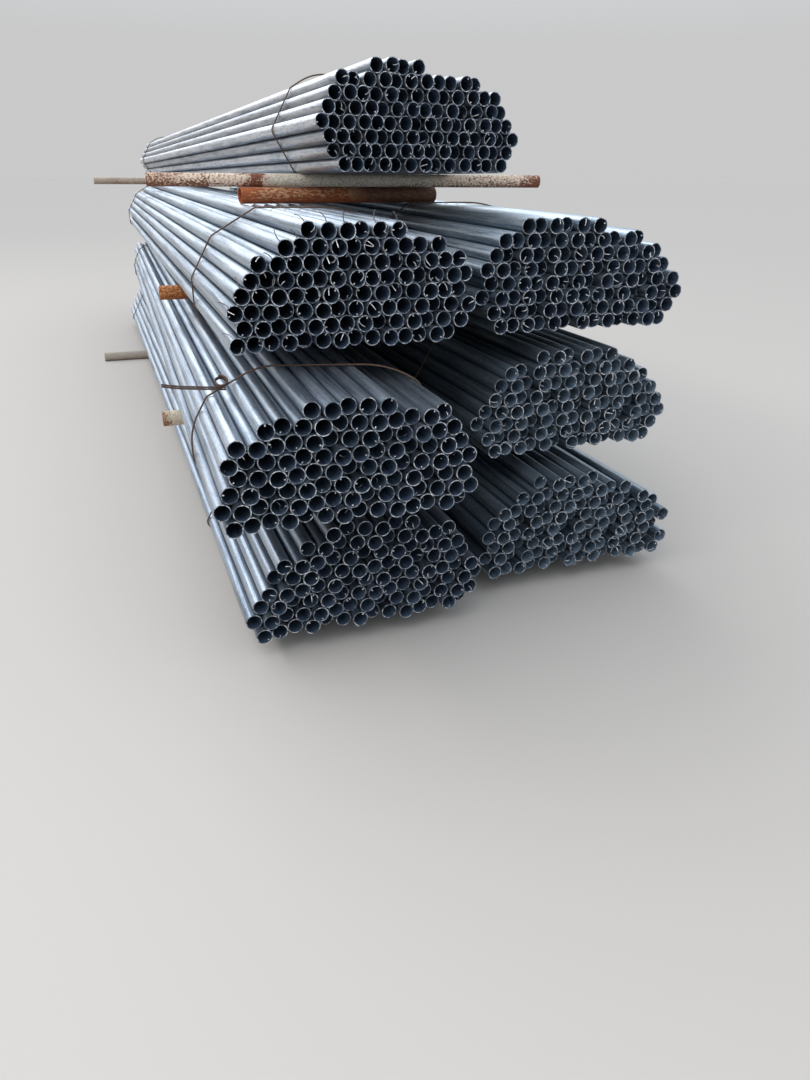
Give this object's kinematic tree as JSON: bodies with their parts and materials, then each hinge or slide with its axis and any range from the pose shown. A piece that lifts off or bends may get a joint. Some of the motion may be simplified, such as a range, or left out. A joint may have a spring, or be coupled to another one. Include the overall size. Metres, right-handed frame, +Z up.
{
  "type": "stack of steel tubes",
  "caption": "Yard stack of galvanised steel scaffold tubes in wire-tied bundles, tiered in columns with one bundle on top, kept apart by old cross pipes",
  "frame": {"origin": "on the floor under the middle of the stack's bounding box", "axes": "+X to the right across the tubes, +Y along the tubes away from the viewer, +Z up"},
  "size_m": [2.06, 6.9992, 1.6802],
  "materials": {
    "galvanised_steel": "hot-dip galvanised steel tube, silvery blue-grey with faint spangle and dull patches",
    "wire_rod": "mill-brown steel wire rod with light rust",
    "cream_painted_pipe": "old cream paint, heavily mottled with rust",
    "rust_red_pipe": "rust-red old pipe with patches of worn paint",
    "orange_rusty_pipe": "orange rusty pipe",
    "tan_painted_pipe": "tan paint peeling off rusty pipe",
    "pale_grey_pipe": "weathered pale grey pipe, dusty"
  },
  "bodies": {
    "root": {"bundle_1_left": "galvanised_steel", "bundle_1_right": "galvanised_steel", "bundle_2_left": "galvanised_steel", "bundle_2_right": "galvanised_steel", "bundle_3_left": "galvanised_steel", "bundle_3_right": "galvanised_steel", "bundle_4_top": "galvanised_steel", "pipe_ground_front": "pale_grey_pipe", "pipe_ground_rear": "pale_grey_pipe", "pipe_second_front": "tan_painted_pipe", "pipe_second_rear": "rust_red_pipe", "pipe_third_front": "orange_rusty_pipe", "pipe_third_rear": "rust_red_pipe", "pipe_top_front": "cream_painted_pipe", "pipe_top_rear": "pale_grey_pipe", "pipe_top_short": "rust_red_pipe", "ties_1_left": "wire_rod", "ties_1_right": "wire_rod", "ties_2_left": "wire_rod", "ties_2_right": "wire_rod", "ties_3_left": "wire_rod", "ties_3_right": "wire_rod", "ties_4_top": "wire_rod"}
  },
  "joints": []
}
